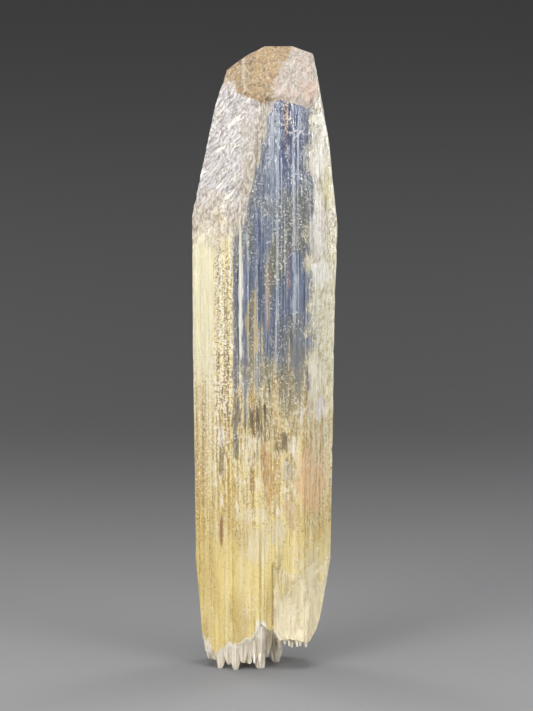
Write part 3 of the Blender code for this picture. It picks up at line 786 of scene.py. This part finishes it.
    threadHeight = n.math("ADD", n.math("ADD", lines, hairs), n.math("MULTIPLY", dashes, 0.7))
    normal = n.bump(threadHeight, n.product(body, 0.9), 0.0004)
    normal = n.bump(hatchLines, n.product(n.most(hatched, leftCap), 0.9), 0.0005, normal)
    normal = n.bump(speck, n.product(n.most(speckled, frosted), 0.5), 0.0004, normal)
    normal = n.bump(feather, n.product(n.most(rightStrip, n.product(leftStrip, 0.5)), 0.8), 0.0007, normal)
    normal = n.bump(sand, n.product(n.most(dome, shoulder), 0.9), 0.0004, normal)
    normal = n.bump(grit, n.math("MULTIPLY_ADD", windowed, -0.35, 0.5), 0.0003, normal)
    n.feed(n.shader.inputs["Normal"], normal)

    n.shader.inputs["Transmission Weight"].default_value = look["clear"]
    n.shader.inputs["IOR"].default_value = look["bending"]
    absorb = n.add("ShaderNodeVolumeAbsorption")
    absorb.inputs["Color"].default_value = look["tint"]
    absorb.inputs["Density"].default_value = look["tintDensity"]
    n.tree.links.new(absorb.outputs[0], n.out.inputs["Volume"])
    return material


def makeBlade():
    mesh = bladeMesh(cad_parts["crystal"])
    mesh.materials.append(crystalMaterial())
    blade = bpy.data.objects.new("kunzite_blade", mesh)
    bpy.context.scene.collection.objects.link(blade)
    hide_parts("crystal")
    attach(blade, "root")
    print("blade made:", len(mesh.vertices), "points,", len(mesh.polygons), "faces")


# What a user would change about the room, in metres
studio = {
    "floorFront": -0.9,
    "bendStart": 0.30,
    "bendRadius": 0.55,
    "bendSteps": 24,
    "wallTop": 1.6,
    "halfWidth": 1.6,
    "floorColour": shade(111, 111, 112),
    "wallPaintedShade": shade(34, 34, 35),
    "darkFrom": -0.25,         # painted shade where less light reaches: the paper is painted darker from here backwards, then up the wall
    "darkTo": 0.30,
    "darkHeight": 0.14,
    "nearShare": 0.90,
    "paperRough": 0.75,
    "paperGloss": 0.2,
    "airColour": (0.50, 0.53, 0.58, 1.0),
    "airStrength": 0.25,
}


def makeSweep():
    s = studio
    profile = [(s["floorFront"], 0.0), (s["bendStart"], 0.0)]
    for k in range(1, s["bendSteps"] + 1):
        angle = math.radians(90 * k / s["bendSteps"])
        profile.append((s["bendStart"] + math.sin(angle) * s["bendRadius"],
                        (1 - math.cos(angle)) * s["bendRadius"]))
    profile.append((profile[-1][0], s["wallTop"]))
    points = [(side * s["halfWidth"], y, z) for y, z in profile for side in (-1, 1)]
    faces = [(2 * k, 2 * k + 1, 2 * k + 3, 2 * k + 2) for k in range(len(profile) - 1)]
    mesh = bpy.data.meshes.new("sweep")
    mesh.from_pydata(points, [], faces)
    mesh.shade_smooth()
    material = bpy.data.materials.new("sweepPaper")
    n = Nodes(material)
    y, z = n.parts(n.add("ShaderNodeTexCoord").outputs["Object"])[1:]
    # Painted shade: the paper's colour darkens away from the crystal, back along the floor and up the wall
    nearShare = n.math("MULTIPLY", n.ease(y, s["darkFrom"], s["darkTo"]), s["nearShare"])
    highShare = n.math("MULTIPLY", n.ease(z, 0.0, s["darkHeight"]), 1 - s["nearShare"])
    back = n.math("ADD", nearShare, highShare)
    n.feed(n.shader.inputs["Base Color"], n.mix(back, s["floorColour"], s["wallPaintedShade"]))
    n.shader.inputs["Roughness"].default_value = s["paperRough"]
    n.shader.inputs["Specular IOR Level"].default_value = s["paperGloss"]
    mesh.materials.append(material)
    sweep = bpy.data.objects.new("sweep", mesh)
    bpy.context.scene.collection.objects.link(sweep)


# Soft lights: where each hangs, its width and height in metres, its power in watts and its colour
lamps = {
    "overhead": ((0.0, -0.05, 0.75), (0.45, 0.45), 9.0, (1.0, 1.0, 1.0)),
    "keyLeft": ((-0.56, -0.60, 0.32), (0.45, 0.50), 13.2, (1.0, 0.98, 0.95)),
    "fillRight": ((0.60, -0.46, 0.26), (0.35, 0.40), 6.5, (0.96, 0.98, 1.0)),
    "backLeft": ((-0.50, 0.42, 0.26), (0.25, 0.45), 4.0, (1.0, 1.0, 1.0)),
    "backRight": ((0.50, 0.38, 0.24), (0.25, 0.45), 4.0, (1.0, 1.0, 1.0)),
}
lampAim = (0.0, 0.0, 0.065)


def makeLamps():
    for name, (place, size, power, colour) in lamps.items():
        data = bpy.data.lights.new(name, "AREA")
        data.shape = "RECTANGLE"
        data.size, data.size_y = size
        data.energy = power
        data.color = colour
        lamp = bpy.data.objects.new(name, data)
        lamp.location = place
        lamp.rotation_euler = (Vector(lampAim) - Vector(place)).to_track_quat("-Z", "Y").to_euler()
        bpy.context.scene.collection.objects.link(lamp)
    world = bpy.data.worlds.new("air")
    world.use_nodes = True
    ground = world.node_tree.nodes["Background"]
    ground.inputs["Color"].default_value = studio["airColour"]
    ground.inputs["Strength"].default_value = studio["airStrength"]
    bpy.context.scene.world = world


# Where the camera stands, in metres and degrees
view = {"distance": 0.50, "elevation": 8.0, "target": (0.0003, 0.0, 0.0631), "lens": 126.7, "sensor": 36.0}


def makeCamera():
    tilt = math.radians(view["elevation"])
    back = Vector((0, -math.cos(tilt), math.sin(tilt)))
    data = bpy.data.cameras.new("camera")
    data.lens, data.sensor_width = view["lens"], view["sensor"]
    camera = bpy.data.objects.new("camera", data)
    camera.location = Vector(view["target"]) + back * view["distance"]
    camera.rotation_euler = (-back).to_track_quat("-Z", "Y").to_euler()
    bpy.context.scene.collection.objects.link(camera)
    bpy.context.scene.camera = camera


makeCamera()
print("camera set")
makeBlade()
makeSweep()
makeLamps()
bpy.context.scene.view_settings.view_transform = "Standard"
print("room and lights made")
